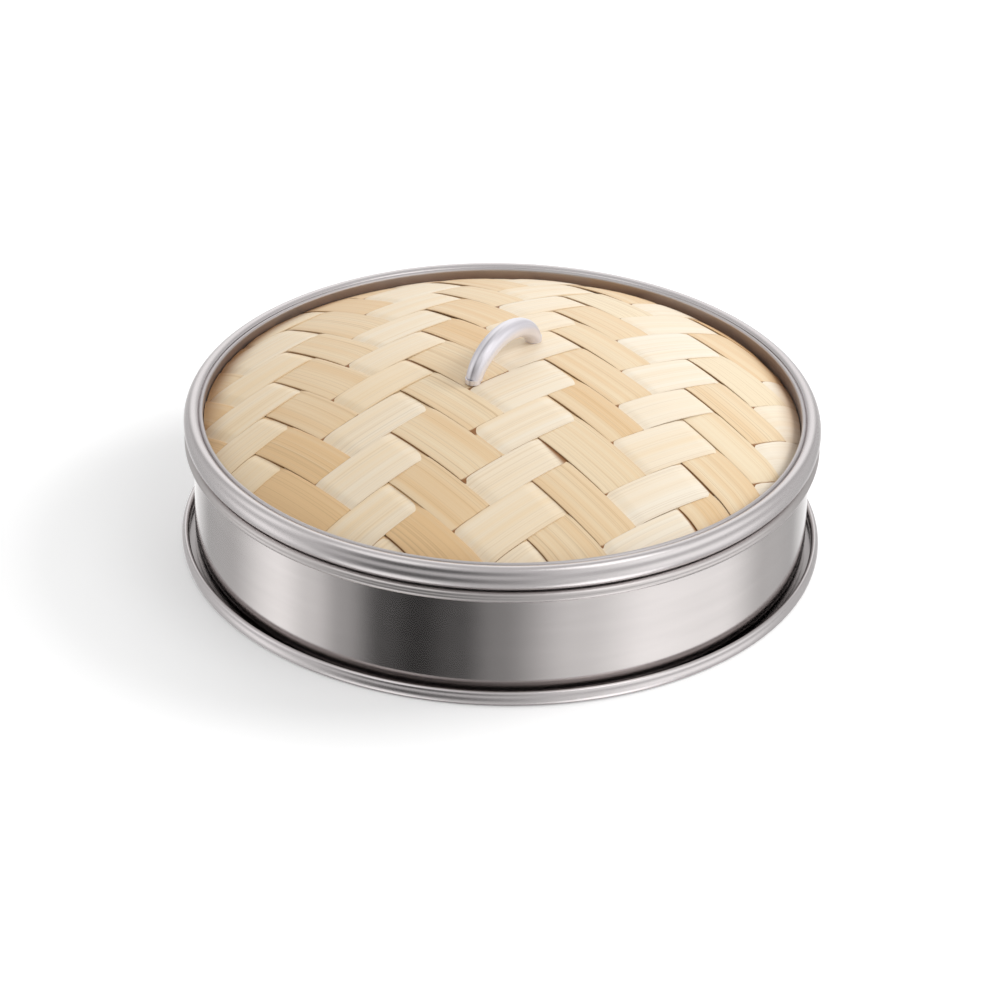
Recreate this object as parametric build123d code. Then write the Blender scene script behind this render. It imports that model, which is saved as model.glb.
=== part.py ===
from build123d import *
import os
from math import asin, atan2, cos, pi, sin, sqrt

# Round steamer tier of sheet steel with a bamboo grate, and a lid with a woven bamboo dome.
# Millimetres. +Z is up, and the origin is the centre of the foot, on the surface it stands on.

# ---- Driving dimensions ------------------------------------------------------------------
SHEET = 0.6                     # steel sheet
FIT = 0.15                      # gap between pieces that are pushed together
WALL_OUTER_R = 96.75            # outside of the steel wall
RIM_BEAD_R = 1.75               # rolled rim of the tier, outside of the roll
RIM_WIRE_R = 1.0
RIM_TOP = 38.55                 # top of the rolled rim
SEAM = 0.4                      # slit that a rolled edge leaves open against its sheet

FOOT_BEAD_CENTRE_R = 99.8       # tall oval roll around the foot
FOOT_BEAD_HALF_WIDTH = 1.25
FOOT_BEAD_HALF_HEIGHT = 2.33
FOOT_SHEET = 0.5
FOOT_LEG_HEIGHT = 7.0           # leg of the foot ring inside the wall

HOOP_THICKNESS = 3.7            # bamboo hoops
GRATE_BOTTOM = 9.0              # underside of the slats
SLAT_THICKNESS = 2.5
SLAT_WIDTH = 10.5
SLAT_GAP = 3.5
SLATS = 13
BAR_WIDTH = 10.0
BAR_THICKNESS = 4.0
BAR_OFFSETS = (-48.0, 0.0, 48.0)
PEG_R = 0.9
PEG_DEPTH = 1.7                 # how far a peg goes into its bar
BAR_PIN_R = 0.8
BAR_PIN_Z = 6.0
BAR_PIN_SUNK = 0.6              # how far a pin's outer end lies inside the support hoop
BAR_PIN_DEPTH = 8.0             # how far it goes into the bar
HOLE_EASE = 0.12                # a hole's radius over its peg's or pin's

LID_OPENING_R = 93.7            # inside of the lid ring
LID_TOP = 46.4                  # top of the lid ring's inner lip
LID_LIP_R = 0.65
LID_BEAD_CENTRE_R = 97.0        # large oval roll of the lid ring
LID_BEAD_CENTRE_Z = 42.8
LID_BEAD_HALF_WIDTH = 2.8
LID_BEAD_HALF_HEIGHT = 3.95
LID_SKIRT_BOTTOM = 33.5
LID_PINS = 8                    # nails through the skirt into the lid hoop
LID_PIN_R = 0.7
LID_PIN_HEAD_R = 1.3
LID_PIN_HEAD_THICKNESS = 0.45
LID_PIN_SHORT = 1.2             # how far a nail stops before the hoop's inside

DOME_R = 232.0                  # radius of the dome's outer surface
DOME_TOP = 63.2
DOME_BEND_R = 85.5              # from here outwards the dome turns down into the ring
DOME_EDGE_R = 93.4              # where the woven dome is trimmed
DOME_EDGE_Z = 40.4              # outer surface of the dome at its edge
LAYER = 0.8                     # thickness of one bamboo strip
LAYER_PITCH = 0.85              # from one layer of the dome to the next
STRIP_GAP = 0.3
ACROSS_TURN = 40.2              # strips that run from front left to back right
ACROSS_EDGES = (-97, -82.5, -68.3, -52, -38.6, -23.5, -6.3, 8.4, 22.1, 35, 49.3, 63.5, 80.7, 96)
DOWN_TURN = -47.2               # strips that run from back left to front right
DOWN_EDGES = (-94, -79.2, -65.1, -50.2, -34, -19.9, -3.2, 10.8, 26.6, 39.9, 55.2, 71.4, 86.5, 101)

HANDLE_TURN = 56.5              # direction of the arch over the dome, in degrees from +X
HANDLE_HALF_SPAN = 17.0
HANDLE_RISE = 11.7
HANDLE_BASE_Z = 60.8            # height where the arch's curve would be upright
HANDLE_MID_R = 3.2
HANDLE_FOOT_R = 2.4
HANDLE_SECTIONS = 13
ARCH_LIFT = 1.2                 # from the dome to where the arch's curve starts
COLLAR_LIFT = 0.2               # from the dome to the round foot of the arch
COLLAR_HEIGHT = 1.6
SHANK_R = 1.6
WASHER_R = 4.2
WASHER_THICKNESS = 0.8
WASHER_DROP = 0.4               # from the backing bar to the washer
HEAD_R = 2.7                    # peened end of the shank, below the washer
HEAD_THICKNESS = 1.2
HEAD_GAP = 0.02
BACKING_LENGTH = 62.0
BACKING_WIDTH = 13.0
BACKING_THICKNESS = 2.6

# ---- Sizes worked out from them ----------------------------------------------------------
WALL_INNER_R = WALL_OUTER_R - SHEET
RIM_CENTRE_R = WALL_OUTER_R - SHEET + RIM_BEAD_R
RIM_CENTRE_Z = RIM_TOP - RIM_BEAD_R
FOOT_LEG_OUTER_R = WALL_INNER_R - FIT
FOOT_LEG_INNER_R = FOOT_LEG_OUTER_R - FOOT_SHEET
SUPPORT_OUTER_R = FOOT_LEG_INNER_R - FIT
SUPPORT_INNER_R = SUPPORT_OUTER_R - HOOP_THICKNESS
LINER_OUTER_R = WALL_INNER_R - FIT
LINER_INNER_R = LINER_OUTER_R - HOOP_THICKNESS
LINER_TOP = LID_SKIRT_BOTTOM - 1.0
GRATE_TOP = GRATE_BOTTOM + SLAT_THICKNESS
SLAT_PITCH = SLAT_WIDTH + SLAT_GAP
LID_HOOP_OUTER_R = LID_OPENING_R - FIT
LID_HOOP_INNER_R = LID_HOOP_OUTER_R - HOOP_THICKNESS
LID_HOOP_TOP = DOME_EDGE_Z - 3 * LAYER_PITCH - 0.1
DOME_CENTRE_Z = DOME_TOP - DOME_R


def lathe(profile):
    """Turn a profile, drawn with X as radius and Y as height, about the Z axis."""
    return revolve(Plane.XZ * profile, axis=Axis.Z)


def band(inner_r, outer_r, low, high):
    """A rectangle of a turned profile."""
    size = Rectangle(outer_r - inner_r, high - low)
    return Pos((inner_r + outer_r) / 2, (low + high) / 2) * size


def hoop(inner_r, outer_r, low, high):
    return lathe(band(inner_r, outer_r, low, high))


def disc(radius, low, high):
    return Pos(0, 0, (low + high) / 2) * Cylinder(radius, high - low)


def upright(radius, x, y, low, high):
    return Pos(x, y, (low + high) / 2) * Cylinder(radius, high - low)


def lying_x(radius, start, end, y, z):
    """A round bar along X."""
    return Pos((start + end) / 2, y, z) * Rot(0, 90, 0) * Cylinder(radius, end - start)


# ---- Tier --------------------------------------------------------------------------------
def base_wall():
    """Sheet wall whose upper edge is rolled outwards round a wire."""
    roll = Circle(RIM_BEAD_R) - Circle(RIM_BEAD_R - SHEET)
    roll = Pos(RIM_CENTRE_R, RIM_CENTRE_Z) * roll
    low = RIM_CENTRE_Z - RIM_BEAD_R
    open_seam = band(WALL_OUTER_R, WALL_OUTER_R + SEAM, low, RIM_CENTRE_Z - SEAM)
    wall = band(WALL_INNER_R, WALL_OUTER_R, FOOT_SHEET + FIT, RIM_CENTRE_Z)
    return lathe(roll - open_seam + wall)


def rim_wire():
    return lathe(Pos(RIM_CENTRE_R, RIM_CENTRE_Z) * Circle(RIM_WIRE_R))


def foot_ring():
    """Ring with a leg inside the wall, a flat rest flange and a rolled outer edge."""
    leg = band(FOOT_LEG_INNER_R, FOOT_LEG_OUTER_R, 0, FOOT_LEG_HEIGHT)
    flange = band(FOOT_LEG_INNER_R, FOOT_BEAD_CENTRE_R, 0, FOOT_SHEET)
    outside = Ellipse(FOOT_BEAD_HALF_WIDTH, FOOT_BEAD_HALF_HEIGHT)
    inside = Ellipse(FOOT_BEAD_HALF_WIDTH - FOOT_SHEET, FOOT_BEAD_HALF_HEIGHT - FOOT_SHEET)
    roll = Pos(FOOT_BEAD_CENTRE_R, FOOT_BEAD_HALF_HEIGHT) * (outside - inside)
    seam_r = FOOT_BEAD_CENTRE_R - FOOT_BEAD_HALF_WIDTH
    open_seam = band(seam_r, seam_r + 2 * FOOT_SHEET, FOOT_SHEET, FOOT_SHEET + SEAM)
    return lathe(roll - open_seam + leg + flange)


def bar_pins(radius):
    """Pins that hold the ends of the bars in the support hoop."""
    pins = []
    for y in BAR_OFFSETS:
        reach = sqrt(SUPPORT_OUTER_R ** 2 - y ** 2) - BAR_PIN_SUNK
        depth = sqrt(SUPPORT_INNER_R ** 2 - y ** 2) - BAR_PIN_DEPTH
        pins.append(lying_x(radius, depth, reach, y, BAR_PIN_Z))
        pins.append(lying_x(radius, -reach, -depth, y, BAR_PIN_Z))
    return pins


def slat_offsets():
    return [(i - (SLATS - 1) / 2) * SLAT_PITCH for i in range(SLATS)]


def slat_pegs(radius):
    """Pegs that hold the slats on the bars, wherever a slat crosses a bar."""
    pegs = []
    for x in slat_offsets():
        for y in BAR_OFFSETS:
            if x ** 2 + y ** 2 < (SUPPORT_INNER_R - BAR_WIDTH / 2) ** 2:
                pegs.append(upright(radius, x, y, GRATE_BOTTOM - PEG_DEPTH, GRATE_TOP))
    return pegs


def support_hoop():
    body = hoop(SUPPORT_INNER_R, SUPPORT_OUTER_R, FOOT_SHEET + FIT, GRATE_BOTTOM)
    return body - bar_pins(BAR_PIN_R + HOLE_EASE)


def liner_hoop():
    return hoop(LINER_INNER_R, LINER_OUTER_R, GRATE_TOP, LINER_TOP)


def cross_bar(y):
    size = Box(2 * WALL_OUTER_R, BAR_WIDTH, BAR_THICKNESS)
    bar = Pos(0, y, GRATE_BOTTOM - BAR_THICKNESS / 2) * size
    bar &= disc(SUPPORT_INNER_R - FIT, 0, GRATE_BOTTOM)
    return bar - bar_pins(BAR_PIN_R + HOLE_EASE) - slat_pegs(PEG_R + HOLE_EASE)


def slat(x):
    size = Box(SLAT_WIDTH, 2 * WALL_OUTER_R, SLAT_THICKNESS)
    board = Pos(x, 0, GRATE_BOTTOM + SLAT_THICKNESS / 2) * size
    board &= disc(LINER_OUTER_R - 2 * FIT, GRATE_BOTTOM, GRATE_TOP)
    return board - slat_pegs(PEG_R + HOLE_EASE)


# ---- Lid ---------------------------------------------------------------------------------
def lid_pins(radius):
    """Nails through the skirt into the lid hoop, with their heads outside."""
    skirt_outer = LID_OPENING_R + SHEET
    z = (LID_SKIRT_BOTTOM + LID_HOOP_TOP) / 2
    head_end = skirt_outer + LID_PIN_HEAD_THICKNESS
    nail = lying_x(radius, LID_HOOP_INNER_R + LID_PIN_SHORT, head_end, 0, z)
    nail += lying_x(LID_PIN_HEAD_R, skirt_outer + HEAD_GAP, head_end, 0, z)
    return [Rot(0, 0, i * 360 / LID_PINS) * nail for i in range(LID_PINS)]


def lid_ring():
    """Ring with a plain skirt, a small inner lip and a large oval outer roll."""
    skirt_outer = LID_OPENING_R + SHEET
    outside = Ellipse(LID_BEAD_HALF_WIDTH, LID_BEAD_HALF_HEIGHT)
    inside = Ellipse(LID_BEAD_HALF_WIDTH - SHEET, LID_BEAD_HALF_HEIGHT - SHEET)
    roll = Pos(LID_BEAD_CENTRE_R, LID_BEAD_CENTRE_Z) * (outside - inside)
    seam_z = LID_BEAD_CENTRE_Z - 0.75 * LID_BEAD_HALF_HEIGHT
    open_seam = band(skirt_outer, LID_BEAD_CENTRE_R, seam_z, seam_z + SEAM)
    skirt = band(LID_OPENING_R, skirt_outer, LID_SKIRT_BOTTOM, LID_TOP - LID_LIP_R)
    lip_z = LID_TOP - LID_LIP_R
    lip = Pos(LID_OPENING_R + LID_LIP_R, lip_z) * Circle(LID_LIP_R)
    fold = band(LID_OPENING_R, LID_OPENING_R + 2 * LID_LIP_R, LID_BEAD_CENTRE_Z, lip_z)
    ring = lathe(roll - open_seam + skirt + lip + fold)
    return ring - lid_pins(LID_PIN_R + HOLE_EASE)


def lid_hoop():
    body = hoop(LID_HOOP_INNER_R, LID_HOOP_OUTER_R, LID_SKIRT_BOTTOM, LID_HOOP_TOP)
    return body - lid_pins(LID_PIN_R + HOLE_EASE)


def dome_curve(depth):
    """The dome's section that far below its outer surface, from its top to its edge."""
    angle = asin(DOME_BEND_R / DOME_R)
    halfway = (DOME_R * sin(angle / 2), DOME_CENTRE_Z + DOME_R * cos(angle / 2))
    bend = (DOME_BEND_R, DOME_CENTRE_Z + DOME_R * cos(angle))
    cap = ThreePointArc((0, DOME_TOP), halfway, bend)
    turned_down = TangentArc(bend, (DOME_EDGE_R, DOME_EDGE_Z), tangent=cap % 1)
    return [Pos(0, -depth) * cap, Pos(0, -depth) * turned_down]


def dome_layer(depth, thickness):
    """One layer of the dome, its outer face that far below the dome's outer surface."""
    outer = dome_curve(depth)
    inner = dome_curve(depth + thickness)
    axis_line = Line(inner[0] @ 0, outer[0] @ 0)
    edge_line = Line(outer[1] @ 1, inner[1] @ 1)
    return lathe(make_face([axis_line, *outer, edge_line, *inner]))


def handle_feet():
    turn = HANDLE_TURN * pi / 180
    x = HANDLE_HALF_SPAN * cos(turn)
    y = HANDLE_HALF_SPAN * sin(turn)
    return [(-x, -y), (x, y)]


def shank_holes(radius):
    return [upright(radius, x, y, DOME_EDGE_Z, DOME_TOP) for x, y in handle_feet()]


def strip(layer, turn, low, high):
    """One strip of the weave: the part of a dome layer between two parallel edges."""
    size = Box(2 * WALL_OUTER_R, high - low - STRIP_GAP, DOME_TOP)
    slab = Rot(0, 0, turn) * Pos(0, (low + high) / 2, DOME_TOP) * size
    return (layer & slab) - shank_holes(SHANK_R + HOLE_EASE)


def foot_surface_z(depth):
    """Height of the dome, that far below its outer surface, where the handle stands."""
    return DOME_CENTRE_Z + sqrt(DOME_R ** 2 - HANDLE_HALF_SPAN ** 2) - depth


def handle_arch():
    """Bent rod, thickest in the middle, that stands on the dome in a vertical plane."""
    foot_z = foot_surface_z(0) + ARCH_LIFT
    first = atan2((foot_z - HANDLE_BASE_Z) / HANDLE_RISE, 1)
    sections = []
    for i in range(HANDLE_SECTIONS):
        t = first + (pi - 2 * first) * i / (HANDLE_SECTIONS - 1)
        centre = (HANDLE_HALF_SPAN * cos(t), 0, HANDLE_BASE_Z + HANDLE_RISE * sin(t))
        along = (-HANDLE_HALF_SPAN * sin(t), 0, HANDLE_RISE * cos(t))
        radius = HANDLE_FOOT_R + (HANDLE_MID_R - HANDLE_FOOT_R) * sin(t)
        sections.append(Plane(origin=centre, x_dir=(0, 1, 0), z_dir=along) * Circle(radius))
    return Rot(0, 0, HANDLE_TURN) * loft(sections)


def washer_top():
    return foot_surface_z(3 * LAYER_PITCH + BACKING_THICKNESS) - WASHER_DROP


def handle():
    """Arch with a collar on each foot and a shank that is peened over below its washer."""
    body = handle_arch()
    collar_low = foot_surface_z(0) + COLLAR_LIFT
    collar_high = collar_low + COLLAR_HEIGHT
    shank_low = washer_top() - WASHER_THICKNESS - HEAD_GAP
    for x, y in handle_feet():
        body += upright(HANDLE_FOOT_R, x, y, collar_low, collar_high)
        body += upright(SHANK_R, x, y, shank_low - HEAD_THICKNESS / 2, collar_high)
        body += upright(HEAD_R, x, y, shank_low - HEAD_THICKNESS, shank_low)
    return body


def handle_washers():
    """Two washers between the backing bar and the peened ends of the handle."""
    low = washer_top() - WASHER_THICKNESS
    plates = [upright(WASHER_R, x, y, low, washer_top()) for x, y in handle_feet()]
    return [plate - shank_holes(SHANK_R + HOLE_EASE) for plate in plates]


def backing_bar():
    """Bamboo lath bent to the inside of the dome under the handle."""
    block = Pos(0, 0, DOME_TOP) * Box(BACKING_LENGTH, BACKING_WIDTH, DOME_TOP)
    lath = dome_layer(3 * LAYER_PITCH, BACKING_THICKNESS) & (Rot(0, 0, HANDLE_TURN) * block)
    return lath - shank_holes(SHANK_R + HOLE_EASE)


# ---- Write one file for each piece -------------------------------------------------------
os.makedirs("parts", exist_ok=True)


def save(shape, node):
    if isinstance(shape, list):
        shape = Compound(children=shape)
    export_step(shape, f"parts/{node}.step")


save(base_wall(), "base_wall")
save(rim_wire(), "rim_wire")
save(foot_ring(), "foot_ring")
save(support_hoop(), "support_hoop")
save(liner_hoop(), "liner_hoop")
save(bar_pins(BAR_PIN_R), "bar_pins")
save(slat_pegs(PEG_R), "slat_pegs")
for number, y in enumerate(BAR_OFFSETS, 1):
    save(cross_bar(y), f"cross_bar_{number}")
for number, x in enumerate(slat_offsets(), 1):
    save(slat(x), f"slat_{number:02d}")

save(lid_ring(), "lid_ring")
save(lid_hoop(), "lid_hoop")
save(lid_pins(LID_PIN_R), "lid_pins")
save(dome_layer(2 * LAYER_PITCH, LAYER) - shank_holes(SHANK_R + HOLE_EASE), "lid_lining")
upper_layer = dome_layer(0, LAYER)
lower_layer = dome_layer(LAYER_PITCH, LAYER)
for number, (low, high) in enumerate(zip(ACROSS_EDGES, ACROSS_EDGES[1:]), 1):
    save(strip(upper_layer, ACROSS_TURN, low, high), f"strip_across_{number:02d}")
for number, (low, high) in enumerate(zip(DOWN_EDGES, DOWN_EDGES[1:]), 1):
    save(strip(lower_layer, DOWN_TURN, low, high), f"strip_down_{number:02d}")
save(backing_bar(), "backing_bar")
save(handle(), "handle")
save(handle_washers(), "handle_washers")
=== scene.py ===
from collections import namedtuple
from math import cos, pi, radians, sin

import bpy
import numpy as np
from mathutils import Matrix, Vector


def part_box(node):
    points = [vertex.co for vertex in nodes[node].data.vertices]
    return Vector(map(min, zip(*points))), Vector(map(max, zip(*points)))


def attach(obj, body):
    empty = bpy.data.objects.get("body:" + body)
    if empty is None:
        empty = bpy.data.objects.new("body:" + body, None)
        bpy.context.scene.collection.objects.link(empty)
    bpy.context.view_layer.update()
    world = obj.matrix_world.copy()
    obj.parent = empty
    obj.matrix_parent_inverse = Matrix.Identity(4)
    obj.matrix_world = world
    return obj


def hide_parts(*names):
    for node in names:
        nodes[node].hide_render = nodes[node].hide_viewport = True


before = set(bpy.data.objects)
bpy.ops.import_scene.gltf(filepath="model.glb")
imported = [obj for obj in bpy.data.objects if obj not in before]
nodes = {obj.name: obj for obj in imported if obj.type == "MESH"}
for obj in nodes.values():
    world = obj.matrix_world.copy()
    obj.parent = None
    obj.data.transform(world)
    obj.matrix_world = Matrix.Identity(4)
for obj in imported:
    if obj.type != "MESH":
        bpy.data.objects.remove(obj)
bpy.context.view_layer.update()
MM = 0.001


# ---- Camera ------------------------------------------------------------------------------
CAMERA_ELEVATION = radians(29.13)
CAMERA_DISTANCE = 1.3839        # metres from the middle of the lid ring's top
AIM_RIGHT = radians(-0.01)      # how far it looks to the right of that middle, and above it
AIM_UP = radians(-1.22)
CAMERA_ROLL = radians(1.24)
CAMERA_LENS, SENSOR_WIDTH = 159.1, 36   # millimetres
NEAREST_SEEN = 0.05                     # metres


def right_and_up(forward):
    """Directions to the right and up, for a level camera that looks forward."""
    right = forward.cross(Vector((0, 0, 1))).normalized()
    return right, right.cross(forward)


def make_camera():
    """A long lens 29 degrees above the steamer, rolled a little."""
    target = Vector((0, 0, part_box("lid_ring")[1].z))
    away = Vector((0, -cos(CAMERA_ELEVATION), sin(CAMERA_ELEVATION)))
    place = target + CAMERA_DISTANCE * away
    forward = (target - place).normalized()
    right, up = right_and_up(forward)
    forward = (forward + sin(AIM_RIGHT) * right + sin(AIM_UP) * up).normalized()
    right, up = right_and_up(forward)
    rolled_right = cos(CAMERA_ROLL) * right + sin(CAMERA_ROLL) * up
    rolled_up = -sin(CAMERA_ROLL) * right + cos(CAMERA_ROLL) * up
    axes = Matrix((rolled_right, rolled_up, -forward)).transposed()
    camera = bpy.data.objects.new("camera", bpy.data.cameras.new("camera"))
    camera.data.sensor_width = SENSOR_WIDTH
    camera.data.lens = CAMERA_LENS
    camera.data.clip_start = NEAREST_SEEN
    camera.matrix_world = Matrix.Translation(place) @ axes.to_4x4()
    bpy.context.scene.collection.objects.link(camera)
    bpy.context.scene.camera = camera


# ---- Node helpers ------------------------------------------------------------------------
class Graph:
    """The node tree of a material or of the world, with short calls for the nodes used here."""

    def __init__(self, owner):
        owner.use_nodes = True
        self.tree = owner.node_tree
        self.owner = owner
        self.shader = self.tree.nodes.get("Principled BSDF") or self.tree.nodes["Background"]

    def node(self, kind, **settings):
        made = self.tree.nodes.new(kind)
        for key, value in settings.items():
            setattr(made, key, value)
        return made

    def link(self, source, target):
        self.tree.links.new(source, target)

    def put(self, socket, value):
        """Give an input a number, a colour or another node's output."""
        if isinstance(value, bpy.types.NodeSocket):
            self.link(value, socket)
        else:
            socket.default_value = value

    def shade(self, **inputs):
        """Set the shader's inputs, each named with _ for a space."""
        for name, value in inputs.items():
            self.put(self.shader.inputs[name.replace("_", " ")], value)

    def place(self):
        """Object coordinates, in metres."""
        return self.node("ShaderNodeTexCoord").outputs["Object"]

    def attribute(self, name):
        return self.node("ShaderNodeAttribute", attribute_name=name).outputs["Fac"]

    def math(self, operation, *values):
        made = self.node("ShaderNodeMath", operation=operation)
        for socket, value in zip(made.inputs, values):
            self.put(socket, value)
        return made.outputs[0]

    def mix(self, share, first, second):
        made = self.node("ShaderNodeMix", data_type="RGBA")
        self.put(made.inputs["Factor"], share)
        self.put(made.inputs["A"], first)
        self.put(made.inputs["B"], second)
        return made.outputs["Result"]

    def noise(self, vector, scale, detail, roughness):
        made = self.node("ShaderNodeTexNoise")
        self.put(made.inputs["Vector"], vector)
        made.inputs["Scale"].default_value = scale
        made.inputs["Detail"].default_value = detail
        made.inputs["Roughness"].default_value = roughness
        return made.outputs["Fac"]

    def grain(self, vector, cells, detail, roughness):
        """Noise with that many cells in a metre along each axis."""
        made = self.node("ShaderNodeMapping")
        self.put(made.inputs["Vector"], vector)
        made.inputs["Scale"].default_value = cells
        return self.noise(made.outputs[0], 1.0, detail, roughness)

    def spread(self, value, low, high, to_low=0.0, to_high=1.0):
        """Map low..high onto to_low..to_high, clamped."""
        made = self.node("ShaderNodeMapRange")
        for key, number in zip(("Value", "From Min", "From Max", "To Min", "To Max"),
                               (value, low, high, to_low, to_high)):
            self.put(made.inputs[key], number)
        return made.outputs[0]

    def bump(self, height, distance, strength):
        made = self.node("ShaderNodeBump")
        made.inputs["Strength"].default_value = strength
        made.inputs["Distance"].default_value = distance
        self.put(made.inputs["Height"], height)
        self.link(made.outputs[0], self.shader.inputs["Normal"])


def grey(value):
    return (value, value, value, 1)


def darker(colour, share):
    """That share of a colour's brightness."""
    return tuple(c * share for c in colour[:3]) + (1,)


# ---- Materials ---------------------------------------------------------------------------
# Cells of each grain in a metre: along x, y and z, or on a strip along it and across it.
BRUSHING, SOFT_BANDS, SMEARS = (12, 12, 5200), (16, 16, 160), (42, 42, 60)
ROD_RIDGES = (22, 950, 22)
STRIP_HAIRS, STRIP_FIBRES = (7, 5200, 1), (4, 1900, 1)
STRIP_STREAKS, STRIP_PATCHES = (1.5, 420, 1), (8, 60, 1)
FRAME_STREAKS = {"x": (25, 900, 900), "y": (900, 25, 900), "round": (25, 25, 1400)}
FRAME_FIBRES, FRAME_PATCHES = 3.2, 0.16     # their cells, as shares of the streaks' cells

# Painted shade: the colour the steel takes in its recesses and grooves, where little light reaches.
RECESS_SHADE_COLOUR = (0.035, 0.03, 0.025, 1)
# Painted shade: the brown of the weave's edges, slits, sides and undersides, and of its bend by the
# ring.
CREVICE_SHADE_COLOUR = (0.28, 0.12, 0.035, 1)
ROLLED_ROUGHNESS = 0.2          # added to the steel's roughness where it is rolled
HANDLE_TURN = radians(56.5)     # from the X axis to the line through the handle's feet
# Painted shade along the handle's crease: where it lies, how wide it is and where it fades.
CREASE_SHADE_OFFSET = -0.0004           # where the handle's dark line lies across it, in metres
CREASE_SHADE_HALF_WIDTH = 0.0006
CREASE_SHADE_FULL, CREASE_SHADE_GONE = -0.012, 0.002    # the line fades out between these places along it


def steel(name, colour, roughness, anisotropy):
    """Stainless steel, finely brushed around the Z axis, with painted shade in its recesses."""
    g = Graph(bpy.data.materials.new(name))
    place = g.place()
    soft = g.grain(place, SOFT_BANDS, 3.0, 0.55)
    smear = g.grain(place, SMEARS, 2.0, 0.5)
    tint = g.mix(g.spread(soft, 0.35, 0.65), colour, darker(colour, 0.95))
    # Painted shade in the recesses, wherever the mesh has it painted.
    tint = g.mix(g.attribute("recess_shade"), tint, RECESS_SHADE_COLOUR)
    rough = g.math("MULTIPLY_ADD", smear, 0.05, roughness - 0.025)
    rough = g.math("MULTIPLY_ADD", g.attribute("rolled"), ROLLED_ROUGHNESS, rough)
    around = g.node("ShaderNodeTangent", direction_type="RADIAL", axis="Z").outputs[0]
    g.shade(Base_Color=tint, Metallic=1.0, Roughness=rough)
    g.shade(Anisotropic=anisotropy, Anisotropic_Rotation=0.25, Tangent=around)
    g.bump(g.grain(place, BRUSHING, 3.0, 0.6), 0.00001, 0.4)
    return g.owner


def plain_metal(name, colour, roughness):
    """Drawn metal with faint mottling."""
    g = Graph(bpy.data.materials.new(name))
    mottle = g.noise(g.place(), 260.0, 3.0, 0.5)
    tint = g.mix(g.spread(mottle, 0.3, 0.7), colour, darker(colour, 0.94))
    rough = g.math("MULTIPLY_ADD", mottle, 0.1, roughness - 0.05)
    g.shade(Base_Color=tint, Metallic=1.0, Roughness=rough)
    g.bump(mottle, 0.00003, 0.2)
    return g.owner


def bent_rod(name, colour, groove):
    """Rod metal with ridges along it, and one line of painted shade along its crease that is
    strongest at its front foot.
    """
    g = Graph(bpy.data.materials.new(name))
    turned_back = g.node("ShaderNodeVectorRotate", rotation_type="Z_AXIS")
    g.put(turned_back.inputs["Vector"], g.place())
    turned_back.inputs["Angle"].default_value = -HANDLE_TURN
    split = g.node("ShaderNodeSeparateXYZ")
    g.link(turned_back.outputs[0], split.inputs[0])
    along, across = split.outputs[0], split.outputs[1]
    ridges = g.grain(turned_back.outputs[0], ROD_RIDGES, 2.0, 0.5)
    off_crease = g.math("ABSOLUTE", g.math("SUBTRACT", across, CREASE_SHADE_OFFSET))
    # Painted shade along the crease, fading out along the rod.
    crease_shade = g.math("MULTIPLY", g.spread(off_crease, 0.0, CREASE_SHADE_HALF_WIDTH, 0.7, 0.0),
                  g.spread(along, CREASE_SHADE_FULL, CREASE_SHADE_GONE, 1.0, 0.0))
    tint = g.mix(g.spread(ridges, 0.35, 0.7, 0.0, 0.6), colour, groove)
    g.shade(Base_Color=g.mix(crease_shade, tint, darker(groove, 0.45)), Metallic=0.6, Roughness=0.36)
    g.bump(ridges, 0.0003, 0.45)
    return g.owner


def strip_bamboo(name, light, dark, fibre, contrast):
    """Split bamboo whose fibres run along the strip: U is along it and V across it, in metres."""
    g = Graph(bpy.data.materials.new(name))
    uv = g.node("ShaderNodeUVMap", uv_map="along").outputs[0]
    hairs = g.grain(uv, STRIP_HAIRS, 2.0, 0.6)
    fibres = g.grain(uv, STRIP_FIBRES, 3.0, 0.6)
    streaks = g.grain(uv, STRIP_STREAKS, 3.0, 0.6)
    patches = g.grain(uv, STRIP_PATCHES, 2.0, 0.5)
    # The tone holds each strip's own tone and the painted light that pales the right side.
    share = g.math("ADD", g.attribute("tone"), g.spread(patches, 0.3, 0.7, -0.22, 0.22))
    share = g.math("ADD", share, g.spread(streaks, 0.35, 0.65, -0.2, 0.2))
    colour = g.mix(g.spread(share, 0.0, 1.0), light, dark)
    colour = g.mix(g.spread(fibres, 0.54, 0.7, 0.0, contrast), colour, fibre)
    colour = g.mix(g.spread(hairs, 0.5, 0.8, 0.0, 0.6 * contrast), colour, fibre)
    # Painted shade along the strips' edges, in their slits, on their sides and undersides and in
    # the bend.
    colour = g.mix(g.attribute("crevice_shade"), colour, CREVICE_SHADE_COLOUR)
    rough = g.spread(fibres, 0.2, 0.8, 0.36, 0.5)
    g.shade(Base_Color=colour, Roughness=rough, Specular_IOR_Level=0.5)
    g.bump(g.math("MULTIPLY_ADD", streaks, 2.0, fibres), 0.00005, 0.3)
    return g.owner


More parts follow.
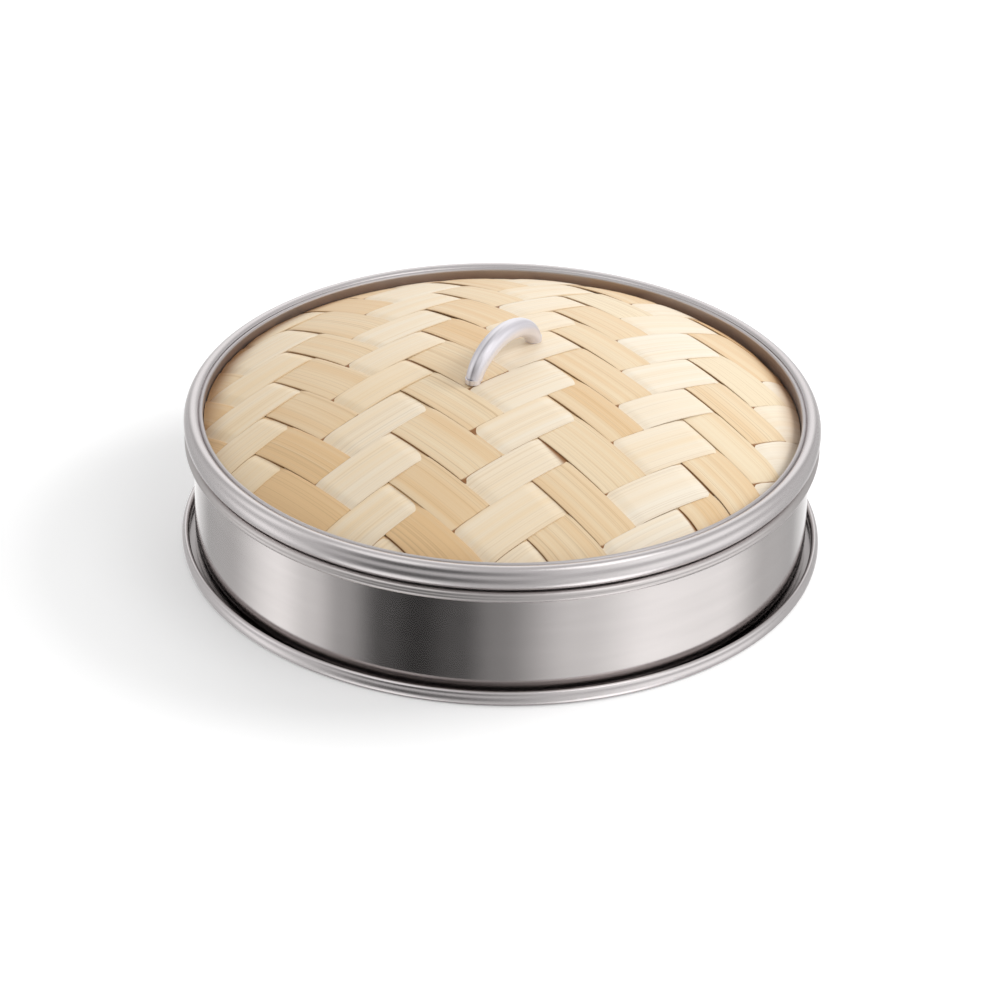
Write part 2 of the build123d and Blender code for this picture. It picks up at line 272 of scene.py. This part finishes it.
def frame_bamboo(name, light, dark, along):
    """Bamboo laths, hoops and sheet, with fibres along x, along y or round the Z axis."""
    g = Graph(bpy.data.materials.new(name))
    place = g.place()
    cells = FRAME_STREAKS[along]
    patches = g.grain(place, tuple(c * FRAME_PATCHES for c in cells), 2.0, 0.5)
    streaks = g.grain(place, cells, 3.0, 0.55)
    fibres = g.grain(place, tuple(c * FRAME_FIBRES for c in cells), 2.0, 0.6)
    colour = g.mix(g.spread(patches, 0.3, 0.7), light, dark)
    colour = g.mix(g.spread(streaks, 0.45, 0.75, 0.0, 0.6), colour, darker(dark, 0.72))
    colour = g.mix(g.spread(fibres, 0.5, 0.8, 0.0, 0.3), colour, darker(dark, 0.6))
    rough = g.spread(fibres, 0.2, 0.8, 0.45, 0.62)
    g.shade(Base_Color=colour, Roughness=rough, Specular_IOR_Level=0.3)
    g.bump(g.math("MULTIPLY_ADD", streaks, 1.5, fibres), 0.00006, 0.5)
    return g.owner


# ---- Mesh helpers ------------------------------------------------------------------------
RING_SEGMENTS = 384


def smooth(t):
    """Rise gently from 0 to 1 as t goes from 0 to 1."""
    t = np.clip(t, 0, 1)
    return t * t * (3 - 2 * t)


def new_piece(name, vertices, faces, material, body, replaces, smooth_below=40):
    """Make a mesh object that rides on a body, stands for CAD nodes and has its finish.
    Edges that bend by less than smooth_below degrees are shaded smooth."""
    mesh = bpy.data.meshes.new(name)
    mesh.from_pydata([tuple(v) for v in vertices], [], faces)
    mesh.validate()
    mesh.shade_smooth()
    mesh.set_sharp_from_angle(angle=radians(smooth_below))
    piece = bpy.data.objects.new(name, mesh)
    bpy.context.scene.collection.objects.link(piece)
    mesh.materials.append(material)
    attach(piece, body)
    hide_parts(*replaces)
    return piece


def paint(mesh, label, values):
    """Give each point of the mesh a number that its material reads by this label."""
    attribute = mesh.attributes.new(label, "FLOAT", "POINT")
    attribute.data.foreach_set("value", values.astype(np.float32))


def turned(name, profile, material, body, replaces, recess_shade, rolled):
    """Turn a closed profile of (radius, height) points, in millimetres, about the Z axis.
    Two functions of radius and height say how much painted shade the steel has there and how rolled
    it is."""
    angles = np.arange(RING_SEGMENTS) * 2 * pi / RING_SEGMENTS
    points = np.array(profile) * MM
    count = len(points)
    x = np.cos(angles)[:, None] * points[:, 0]
    y = np.sin(angles)[:, None] * points[:, 0]
    z = np.broadcast_to(points[:, 1], x.shape)
    vertices = np.stack([x, y, z], -1).reshape(-1, 3)
    faces = []
    for i in range(RING_SEGMENTS):
        here, there = i * count, (i + 1) % RING_SEGMENTS * count
        for k in range(count):
            after = (k + 1) % count
            faces.append((here + k, there + k, there + after, here + after))
    piece = new_piece(name, vertices, faces, material, body, replaces)
    # The first label carries painted shade, the second roughness.
    for label, function in (("recess_shade", recess_shade), ("rolled", rolled)):
        values = [function(r, z) for r, z in profile]
        paint(piece.data, label, np.tile(np.array(values, float), RING_SEGMENTS))


def arc(centre_r, centre_z, half_width, half_height, start, end, steps):
    """Points of an ellipse from one angle to another, in degrees, 0 being outwards."""
    points = []
    for k in range(steps + 1):
        t = radians(start + (end - start) * k / steps)
        points.append((centre_r + half_width * cos(t), centre_z + half_height * sin(t)))
    return points


# ---- Steel rings, in millimetres ---------------------------------------------------------
SHEET = 0.6
WALL_OUTER_R, WALL_BOTTOM = 96.75, 0.65
WALL_STOPS = (34.5, 20.0, 3.2, 1.8)     # outline points that keep the foot's shade at the foot
RIM_CENTRE_R, RIM_CENTRE_Z, RIM_R = 97.9, 36.8, 1.75
FOOT_SHEET = 0.5
FOOT_LEG_R, FOOT_LEG_TOP = 96.0, 7.0
FOOT_CENTRE_R, FOOT_HALF_WIDTH, FOOT_HALF_HEIGHT = 99.8, 1.25, 2.33
LID_OPENING_R, LID_TOP, LIP_R = 93.7, 46.4, 0.65
LIP_VALLEY = [(95.35, 45.35), (95.5, 45.5)]
BEAD_CENTRE_R, BEAD_CENTRE_Z, BEAD_HALF_WIDTH, BEAD_HALF_HEIGHT = 97.0, 42.8, 2.8, 3.95
SKIRT_BOTTOM = 33.5


def wall_profile():
    """Up the inside, over the roll and down the outside."""
    inner = WALL_OUTER_R - SHEET
    up = [(inner, z) for z in (WALL_BOTTOM, 20.0, 36.0)]
    roll = arc(RIM_CENTRE_R, RIM_CENTRE_Z, RIM_R, RIM_R, 180, -120, 40)
    back = arc(RIM_CENTRE_R, RIM_CENTRE_Z, RIM_R - SHEET, RIM_R - SHEET, -120, 170, 30)
    down = [(WALL_OUTER_R, z) for z in (RIM_CENTRE_Z - 0.5, *WALL_STOPS, WALL_BOTTOM)]
    return up + roll + back + down


def wall_foot_shade(r, z):
    """Painted shade: the wall is darker at its foot, by the groove."""
    return 0.4 * smooth((2.4 - z) / 1.2)


def wall_rolled(r, z):
    """Only the rim is rolled, which stands out from the wall."""
    return float(r > WALL_OUTER_R + 0.1)


def foot_profile():
    """A leg inside the wall, the flat flange it stands on, and the oval roll."""
    leg_inner = FOOT_LEG_R - FOOT_SHEET
    leg = [(FOOT_LEG_R, FOOT_LEG_TOP), (leg_inner, FOOT_LEG_TOP)]
    bend = [(leg_inner, 0.3), (leg_inner + 0.3, 0.0)]
    roll = arc(FOOT_CENTRE_R, FOOT_HALF_HEIGHT, FOOT_HALF_WIDTH, FOOT_HALF_HEIGHT, -90, 190, 40)
    back = arc(FOOT_CENTRE_R, FOOT_HALF_HEIGHT,
               FOOT_HALF_WIDTH - FOOT_SHEET, FOOT_HALF_HEIGHT - FOOT_SHEET, 190, -70, 26)
    flange = [(FOOT_CENTRE_R - 0.6, FOOT_SHEET), (FOOT_LEG_R, FOOT_SHEET)]
    return leg + bend + roll + back + flange


def foot_roll_shade(r, z):
    """Painted shade on the side of the roll that faces the wall, most of all near the ground."""
    near_ground = 0.5 * smooth((2.0 - z) / 1.2)
    return max(near_ground, 0.25) * smooth((FOOT_CENTRE_R + 0.2 - r) / 0.6)


def foot_rolled(r, z):
    """The foot keeps the roughness of its steel."""
    return 0


def lid_profile():
    """Up the skirt's inside, over the inner lip, round the large oval roll and back."""
    outer = LID_OPENING_R + SHEET
    lip_z = LID_TOP - LIP_R
    up = [(LID_OPENING_R, z) for z in (SKIRT_BOTTOM, 40.0, lip_z - 0.5)]
    lip = arc(LID_OPENING_R + LIP_R, lip_z, LIP_R, LIP_R, 180, 20, 16)
    roll = arc(BEAD_CENTRE_R, BEAD_CENTRE_Z, BEAD_HALF_WIDTH, BEAD_HALF_HEIGHT, 125, -130, 56)
    back = arc(BEAD_CENTRE_R, BEAD_CENTRE_Z, BEAD_HALF_WIDTH - SHEET, BEAD_HALF_HEIGHT - SHEET,
               -130, 150, 40)
    down = [(outer, z) for z in (44.0, 40.0, SKIRT_BOTTOM)]
    return up + lip + LIP_VALLEY + roll + back + down


def lid_lip_shade(r, z):
    """Painted shade inside the ring's lip and above the dome's edge."""
    return 0.15 * smooth((95.1 - r) / 0.6) * smooth((z - 38) / 3)


def lid_rolled(r, z):
    """The lip and all inside it are duller than the large roll."""
    return smooth((95.6 - r) / 0.4)


# ---- Woven lid, in millimetres -----------------------------------------------------------
DOME_EDGE_R = 93.35
DOME_R = 232.0
DOME_TOP = 63.2
DOME_CENTRE_Z = DOME_TOP - DOME_R
BEND_R = 85.5                   # from here outwards the dome turns down into the ring
BEND_DROP = 1.3                 # how far its edge drops
BEND_LEAN = 0.9                 # how much further it drops on the right
# Each direction's strips: their turn from the X axis, the places where one strip ends and the
# next begins, and how dark each one is, from 0 to 1. Then some crossings' wider painted slit shade.
ACROSS_TURN = radians(40.2)
DOWN_TURN = radians(-47.2)
ACROSS_EDGES = (-97, -82.5, -68.3, -52, -38.6, -23.5, -6.3, 8.4, 22.1, 35, 49.3, 63.5, 80.7, 96)
DOWN_EDGES = (-94, -79.2, -65.1, -50.2, -34, -19.9, -3.2, 10.8, 26.6, 39.9, 55.2, 71.4, 86.5, 101)
ACROSS_TONES = (0.4, 0.35, 0.55, 0.5, 0.4, 0.35, 0.4, 0.5, 0.45, 0.5, 0.55, 0.4, 0.45)
DOWN_TONES = (0.95, 1.0, 0.65, 0.5, 0.45, 0.35, 0.75, 0.6, 0.3, 0.5, 0.0, 0.7, 1.0)
WIDE_SLIT_SHADES = {(4, 6): 1.3, (5, 8): 1.1, (1, 7): 1.2, (1, 8): 1.0, (8, 6): 0.7, (9, 6): 0.6}
STRIPS = 13
STRIP_THICKNESS = 0.36
STRIP_COLUMNS = np.array([0, 0.1, 0.3, 0.8, 2.2, 4.8])  # lines of points, from an edge inwards
WEAVE_LIFT = 0.26               # how far a strip's middle rises over and dips under
WEAVE_MIDDLE = 0.4              # depth of the weave's middle below the dome's outer surface
RAMP_LENGTHS = (2.5, 5.0)       # how near to a crossing edge, and how far, a dip may start
BOW_LENGTH = 29                 # a strip bows up over the two strips that it lies on
ROWS_APART, ROWS_CLOSEST = 3.0, 0.2     # rows of points across a strip
CROSSING_ROWS = np.concatenate([np.arange(-7, -1, 0.8), np.arange(-1, 1.01, 0.25),
                                np.arange(1.8, 8, 0.8)])    # from each crossing edge
LINING_TOP, LINING_BOTTOM = -1.25, -2.0     # heights from the dome's outer surface
LINING_RADII = np.concatenate([np.linspace(0.5, 84, 36), np.linspace(85, 92.9, 18)])
LINING_SPOKES = 192

# How one direction's strips look: the painted shade along their edges and under them, whether they
# hug what they dip under, how far they may stay inside their edges, and how much painted light
# pales the right side.
Finish = namedtuple("Finish", "material slot edge_line underside tight inset fade")


def radius_of(x, y):
    """Distance from the Z axis, but never so small that it can't divide."""
    return np.maximum(np.hypot(x, y), 1)


def dome_points(x, y, height):
    """Points of the dome that far above its outer surface, in metres."""
    flat = np.sqrt(DOME_R ** 2 - x ** 2 - y ** 2)
    size = (DOME_R + height) / DOME_R
    radius = radius_of(x, y)
    turn_down = np.clip((radius - BEND_R) / (DOME_EDGE_R - BEND_R), 0, 1)
    drop = BEND_DROP + BEND_LEAN * x / radius
    z = DOME_CENTRE_Z + flat * size - drop * turn_down ** 2
    return np.stack([x * size, y * size, z], -1) * MM


def over(across, down):
    """True where strip number across lies over strip number down: a 2/2 twill."""
    return (down - across) % 4 in (0, 1)


def weave_height(crossing, edges, states, tight, rng):
    """Height along a strip, from -1 to 1: it dips at each crossing edge it goes under.
    A tight dip hugs the other strip's edge, and another one leaves a slit beside it."""
    height = np.full_like(crossing, 1.0 if states[0] else -1.0)
    bow = np.zeros_like(crossing)
    for edge, before, after in zip(edges[1:-1], states[:-1], states[1:]):
        ramp = rng.uniform(*RAMP_LENGTHS)
        if before == after:
            continue
        beyond = 0.8 * ramp if tight else 0.5
        start = edge - (ramp if before else beyond)     # it dives early or comes out late
        t = smooth((crossing - start) / (ramp + beyond))
        height = height * (1 - t) + (1.0 if after else -1.0) * t
        if after:
            along = np.clip((crossing - edge) / BOW_LENGTH, 0, 1)
            bow = bow + np.sin(pi * along) ** 2 * rng.uniform(0, 1) ** 2
    return height + bow


def slit_shade(crossing, place, edges, states, slit_shades):
    """Painted shade where a strip dives under the next one. A slit has a width and a lean, which
    makes it wider at one side of the strip, and it opens a little at the strip's corners."""
    shade = np.zeros_like(crossing)
    for edge, before, after, (width, lean) in zip(edges[1:-1], states[:-1], states[1:], slit_shades):
        if before and not after:
            corners = 0.2 * np.abs(place) ** 12
            reach = 0.05 + width * (1 + lean * place) / 2 + corners
            near = smooth(1.25 - (edge - crossing) / (2 * reach)) * (crossing < edge + 2)
            shade = np.maximum(shade, near)
    return shade


def bend_shade(x, y):
    """Painted shade on the bamboo in the bend by the ring, most at the back, where the ring shadows
    it.
    """
    radius = radius_of(x, y)
    return 0.95 * smooth((radius - 85) / 8) * smooth((y / radius + 0.5) / 0.8)


def strip_rows(crossing_places):
    """Places along a strip, closer together at each crossing edge."""
    near_edges = [place + CROSSING_ROWS for place in crossing_places]
    places = np.sort(np.concatenate(near_edges + [np.arange(-93, 93.1, ROWS_APART)]))
    places = places[np.abs(places) < DOME_EDGE_R]
    kept = [-DOME_EDGE_R - 1, places[0]]
    for place in places[1:]:
        if place - kept[-1] > ROWS_CLOSEST:
            kept.append(place)
    return np.array(kept + [DOME_EDGE_R + 1])


def wave(along, amount, lengths, rng):
    """A slow wave along a strip. Its wavelength over 2 pi is drawn from between two lengths."""
    return amount * np.sin(along / rng.uniform(*lengths) + rng.uniform(0, 6))


def woven_strip(name, edges, turn, crossing, states, slit_shades, tone, finish, node, rng):
    """One strip of the weave. It runs along turn, between two edges, and crosses other strips.
    States say at which of them it is on top."""
    crossing_edges, crossing_turn = crossing
    low = edges[0] + rng.uniform(0.02, finish.inset)
    high = edges[1] - rng.uniform(0.02, finish.inset)
    middle, width = (low + high) / 2, high - low
    columns = np.concatenate([low + STRIP_COLUMNS, [middle], high - STRIP_COLUMNS[::-1]])
    columns = columns[np.abs(columns) < DOME_EDGE_R - 0.3]
    spread = cos(crossing_turn - turn)      # how the two directions' coordinates mix
    slope = sin(turn - crossing_turn)
    rows = strip_rows([(edge - middle * spread) / slope for edge in crossing_edges])
    across, along = np.meshgrid(columns, rows)
    reach = np.sqrt(DOME_EDGE_R ** 2 - columns ** 2)
    inside = np.abs(along) < reach
    along = np.clip(along, -reach, reach)

    passed = along * slope + across * spread
    place = 2 * (across - middle) / width
    edge_distance = (1 - np.abs(place)) * width / 2
    height = weave_height(passed, crossing_edges, states, finish.tight, rng) * WEAVE_LIFT
    crown = rng.uniform(0.02, 0.09) * (1 - place ** 2)
    tilt = rng.uniform(-0.07, 0.07) * place
    height += crown + tilt
    height += wave(along, 0.05, (16, 26), rng)
    height -= 0.07 * np.exp(-edge_distance / 0.12)      # eased edges
    wander = wave(along, rng.uniform(0.05, 0.2), (18, 34), rng)
    wander *= np.clip((DOME_EDGE_R - np.hypot(along, across)) / 3, 0, 1)    # none at its ends
    side = across + wander
    x = cos(turn) * along - sin(turn) * side
    y = sin(turn) * along + cos(turn) * side

    top = dome_points(x, y, height - WEAVE_MIDDLE + STRIP_THICKNESS / 2)
    bottom = dome_points(x, y, height - WEAVE_MIDDLE - STRIP_THICKNESS / 2)
    vertices = np.concatenate([top.reshape(-1, 3), bottom.reshape(-1, 3)])
    piece = new_piece(name, vertices, slab_faces(inside), finish.material, "lid",
                      [node], 50)
    # Painted shade along the edges, where the strips meet.
    edge_line = finish.edge_line * np.exp(-edge_distance / 0.2)
    slit = slit_shade(passed, place, crossing_edges, states, slit_shades)
    # On top: painted shade at the edges, in the slits and in the bend. Below: painted shade all
    # over.
    top_shade = np.maximum(np.maximum(edge_line, slit), bend_shade(x, y))
    crevice_shade = np.stack([top_shade, np.full(across.shape, finish.underside)])
    lay_grain(piece.data, along, across, rng.uniform(0, 5, 2))
    paint(piece.data, "crevice_shade", crevice_shade.ravel())
    # Painted light: the strips grow paler towards the right, where the key light falls.
    tones = tone - finish.fade * x.ravel() / DOME_EDGE_R
    paint(piece.data, "tone", np.concatenate([tones, tones]))


def slab_faces(inside):
    """Faces of a sheet with a top and a bottom, over a grid's cells that touch the inside."""
    rows, columns = inside.shape
    count = rows * columns
    used = inside[:-1, :-1] | inside[1:, :-1] | inside[:-1, 1:] | inside[1:, 1:]
    faces = []
    for a, b in zip(*(index.tolist() for index in np.nonzero(used))):
        first = a * columns + b
        corner = (first, first + 1, first + columns + 1, first + columns)
        faces.append(corner[::-1])
        faces.append(tuple(c + count for c in corner))
        sides = ((a - 1, b, 0, 1), (a, b + 1, 1, 2), (a + 1, b, 2, 3), (a, b - 1, 3, 0))
        for row, column, p, q in sides:
            beyond = not (0 <= row < rows - 1 and 0 <= column < columns - 1)
            if beyond or not used[row, column]:
                faces.append((corner[p], corner[q], corner[q] + count, corner[p] + count))
    return faces


def lay_grain(mesh, along, across, shift):
    """A map in metres, with U along the strip and V across it, the same above and below."""
    grid = np.stack([along * MM + shift[0], across * MM + shift[1]], -1).reshape(-1, 2)
    grid = np.concatenate([grid, grid])
    corners = np.zeros(len(mesh.loops), int)
    mesh.loops.foreach_get("vertex_index", corners)
    mesh.uv_layers.new(name="along").data.foreach_set("uv", grid[corners].ravel())


def weave(light, tan):
    """Thirteen strips each way."""
    rng = np.random.default_rng(7)
    numbers = range(1, STRIPS + 1)
    for i in numbers:
        states = [over(i, j) for j in numbers]
        slit_shades = [(WIDE_SLIT_SHADES.get((i, j), rng.uniform(0.05, 0.4)), rng.uniform(-1, 1))
                 for j in numbers[1:]]
        woven_strip(f"weave_across_{i:02d}", ACROSS_EDGES[i - 1:i + 1], ACROSS_TURN,
                    (DOWN_EDGES, DOWN_TURN), states, slit_shades, ACROSS_TONES[i - 1], light,
                    f"strip_across_{i:02d}", rng)
    # Along a down strip, the across strips come in the opposite order.
    flipped = [-edge for edge in reversed(ACROSS_EDGES)]
    for j in numbers:
        states = [not over(i, j) for i in reversed(numbers)]
        slit_shades = [(rng.uniform(0.02, 0.15), rng.uniform(-1, 1)) for i in numbers[1:]]
        woven_strip(f"weave_down_{j:02d}", DOWN_EDGES[j - 1:j + 1], DOWN_TURN,
                    (flipped, ACROSS_TURN + pi), states, slit_shades, DOWN_TONES[j - 1], tan,
                    f"strip_down_{j:02d}", rng)


def lining_sheet(material):
    """The lid's inner sheet, under the weave."""
    angles = np.arange(LINING_SPOKES) * 2 * pi / LINING_SPOKES
    x = np.outer(np.cos(angles), LINING_RADII)
    y = np.outer(np.sin(angles), LINING_RADII)
    top = dome_points(x, y, LINING_TOP).reshape(-1, 3)
    bottom = dome_points(x, y, LINING_BOTTOM).reshape(-1, 3)
    below = len(top)
    width = len(LINING_RADII)
    faces = []
    for a in range(LINING_SPOKES):
        here, there = a * width, (a + 1) % LINING_SPOKES * width
        for b in range(width - 1):
            cell = (here + b, here + b + 1, there + b + 1, there + b)
            faces.append(cell)
            faces.append(tuple(below + corner for corner in reversed(cell)))
        rim, next_rim = here + width - 1, there + width - 1
        faces.append((rim, below + rim, below + next_rim, next_rim))
        faces.append((here, there, below + there, below + here))
    new_piece("inner_sheet", np.concatenate([top, bottom]), faces, material, "lid",
              ["lid_lining"], 50)


# ---- Stage -------------------------------------------------------------------------------
FLOOR_HALF = 4                  # metres
GLOSS_HEIGHT = 0.05 * MM

# Brightness of the room in a belt about 30 degrees up, by direction in degrees (0 is right,
# 90 front and 180 left), and elsewhere.
ROOM = ((0, 1.14), (30, 1.24), (60, 0.82), (90, 0.27), (104, 0.09), (120, 0.03), (134, 0.08),
        (150, 0.42), (164, 0.8), (180, 1.15), (212, 0.55), (240, 0.48), (270, 0.52), (300, 0.5),
        (332, 0.6), (360, 1.14))
ROOM_REST = 0.6
ROOM_SCALE = 1.2                # the ramp holds each brightness divided by this
BELT_BOTTOM = (0.14, 0.28)      # sines of the elevations between which the belt fades in and out
BELT_TOP = (0.60, 0.76)
GLOW_Y, GLOW_Z = 0.88, 0.48     # direction of a glow at the back
GLOW_STARTS, GLOW_FULL = 0.84, 0.98     # about the cosines of the angles from that direction
GLOW = 0.55


def flat_sheet(name, height, material):
    """A large square of the stage."""
    half = FLOOR_HALF
    mesh = bpy.data.meshes.new(name)
    corners = [(-half, -half, height), (half, -half, height),
               (half, half, height), (-half, half, height)]
    mesh.from_pydata(corners, [], [(0, 1, 2, 3)])
    sheet = bpy.data.objects.new(name, mesh)
    bpy.context.scene.collection.objects.link(sheet)
    mesh.materials.append(material)
    return sheet


def make_floor():
    """A plain pale floor, and a gloss on it that only the steel's reflections see."""
    floor = Graph(bpy.data.materials.new("pale_floor"))
    floor.shade(Base_Color=grey(0.98), Roughness=0.95, Specular_IOR_Level=0.0)
    floor.shade(Emission_Color=grey(1.0), Emission_Strength=0.18)
    flat_sheet("floor", 0, floor.owner)
    polish = Graph(bpy.data.materials.new("table_gloss"))
    polish.shade(Base_Color=grey(1.0), Metallic=1.0, Roughness=0.12)
    gloss = flat_sheet("table_gloss", GLOSS_HEIGHT, polish.owner)
    gloss.visible_camera = False
    gloss.visible_diffuse = False
    gloss.visible_shadow = False
    gloss.visible_transmission = False


def area_light(name, place, size, power, in_reflections=True):
    """A square soft box that faces the steamer."""
    light = bpy.data.lights.new(name, "AREA")
    light.size = size
    light.energy = power
    lamp = bpy.data.objects.new(name, light)
    lamp.location = place
    aim = Vector((0, 0, 0.03)) - Vector(place)
    lamp.rotation_euler = aim.to_track_quat("-Z", "Y").to_euler()
    lamp.visible_glossy = in_reflections
    bpy.context.scene.collection.objects.link(lamp)


def room_ramp(g, turn):
    """The brightness of the room's belt by direction, where turn goes from 0 to 1."""
    ramp = g.node("ShaderNodeValToRGB")
    g.link(turn, ramp.inputs[0])
    stops = ramp.color_ramp.elements
    ramp.color_ramp.interpolation = "EASE"
    stops[0].position, stops[1].position = 0, 1
    for angle, value in ROOM[1:-1]:
        stops.new(angle / 360).color = grey(value / ROOM_SCALE)
    stops[0].color = grey(ROOM[0][1] / ROOM_SCALE)
    stops[-1].color = grey(ROOM[-1][1] / ROOM_SCALE)
    return g.math("MULTIPLY", ramp.outputs["Color"], ROOM_SCALE)


def make_world():
    """A light studio with a darker side towards the front left, and a soft glow at the back."""
    world = bpy.data.worlds.new("studio")
    bpy.context.scene.world = world
    g = Graph(world)
    split = g.node("ShaderNodeSeparateXYZ")
    g.link(g.node("ShaderNodeTexCoord").outputs["Generated"], split.inputs[0])
    x, y, z = split.outputs
    turn = g.math("ARCTAN2", g.math("MULTIPLY", y, -1.0), x)
    turn = g.math("WRAP", g.math("DIVIDE", turn, 2 * pi), 1.0, 0.0)
    belt = g.math("MULTIPLY", g.spread(z, *BELT_BOTTOM), g.spread(z, *BELT_TOP, 1.0, 0.0))
    over_rest = g.math("SUBTRACT", room_ramp(g, turn), ROOM_REST)
    light = g.math("MULTIPLY_ADD", belt, over_rest, ROOM_REST)
    to_back = g.math("ADD", g.math("MULTIPLY", y, GLOW_Y), g.math("MULTIPLY", z, GLOW_Z))
    light = g.math("ADD", light, g.spread(to_back, GLOW_STARTS, GLOW_FULL, 0.0, GLOW))
    g.shade(Strength=light, Color=grey(1.0))


def make_light():
    make_world()
    area_light("key_right", (1.25, 0.35, 0.95), size=0.7, power=11.5, in_reflections=False)
    area_light("sheen_back", (0.05, 1.45, 0.8), size=1.5, power=3.4, in_reflections=False)
    area_light("streak_left", (-0.75, -0.5, 1.5), size=0.8, power=1.2)
    area_light("streak_right", (0.75, -0.5, 1.5), size=0.8, power=2.4)
    bpy.context.scene.view_settings.view_transform = "Standard"


# ---- Build -------------------------------------------------------------------------------
make_camera()
make_floor()
make_light()

wall_steel = steel("wall_steel", (0.68, 0.64, 0.63, 1), roughness=0.11, anisotropy=0.4)
bead_steel = steel("bead_steel", (0.74, 0.70, 0.70, 1), roughness=0.26, anisotropy=0.3)
aluminium = bent_rod("handle_aluminium", (0.93, 0.90, 0.94, 1), groove=(0.62, 0.59, 0.64, 1))
fastener = plain_metal("fastener_steel", (0.6, 0.59, 0.57, 1), roughness=0.3)
bamboo_light = strip_bamboo("bamboo_light", light=(0.89, 0.80, 0.66, 1), dark=(0.86, 0.67, 0.43, 1),
                            fibre=(0.50, 0.35, 0.20, 1), contrast=0.28)
bamboo_tan = strip_bamboo("bamboo_tan", light=(0.85, 0.71, 0.50, 1), dark=(0.77, 0.52, 0.27, 1),
                          fibre=(0.46, 0.30, 0.15, 1), contrast=0.5)
# The lining's own bamboo colour, made darker and browner than the frame's so that the gaps between
# the strips show painted shade.
lining = frame_bamboo("bamboo_lining", (0.62, 0.38, 0.18, 1), (0.48, 0.27, 0.11, 1), "x")
frame_x = frame_bamboo("bamboo_frame_x", (0.66, 0.48, 0.27, 1), (0.52, 0.35, 0.17, 1), "x")
frame_y = frame_bamboo("bamboo_frame_y", (0.70, 0.53, 0.31, 1), (0.56, 0.39, 0.20, 1), "y")
frame_round = frame_bamboo("bamboo_frame_round", (0.68, 0.50, 0.28, 1), (0.54, 0.37, 0.18, 1),
                           "round")
EASED_NODES = ("slat_0", "slat_1", "cross_bar", "backing_bar")      # all the slats, not their pegs


def material_for(node):
    """The material of a CAD node that is shown."""
    if node == "lid_lining":
        return lining
    if node == "handle":
        return aluminium
    if node in ("rim_wire", "bar_pins", "lid_pins", "handle_washers"):
        return fastener
    if node.endswith("hoop"):
        return frame_round
    if node.startswith("slat_"):
        return frame_y
    return frame_x


for node, shape in nodes.items():
    shape.data.materials.clear()
    shape.data.materials.append(material_for(node))
    if node.startswith(EASED_NODES) or node.endswith("hoop"):
        eased = shape.modifiers.new("eased_edges", "BEVEL")
        eased.width = 0.4 * MM
        eased.segments = 2
        eased.limit_method = "ANGLE"

# Each ring's painted shade comes from the first of its two functions.
turned("tier_wall", wall_profile(), wall_steel, "tier", ["base_wall"], wall_foot_shade, wall_rolled)
turned("tier_foot", foot_profile(), bead_steel, "tier", ["foot_ring"], foot_roll_shade, foot_rolled)
turned("lid_rim", lid_profile(), bead_steel, "lid", ["lid_ring"], lid_lip_shade, lid_rolled)
# Each finish sets the painted shade at edges and undersides, and the painted light that pales the
# right side.
weave(light=Finish(bamboo_light, "bamboo_light", edge_line=0.12, underside=0.25, tight=False,
                   inset=0.12, fade=0.35),
      tan=Finish(bamboo_tan, "bamboo_tan", edge_line=0.25, underside=0.75, tight=True,
                 inset=0.2, fade=0.1))
lining_sheet(lining)
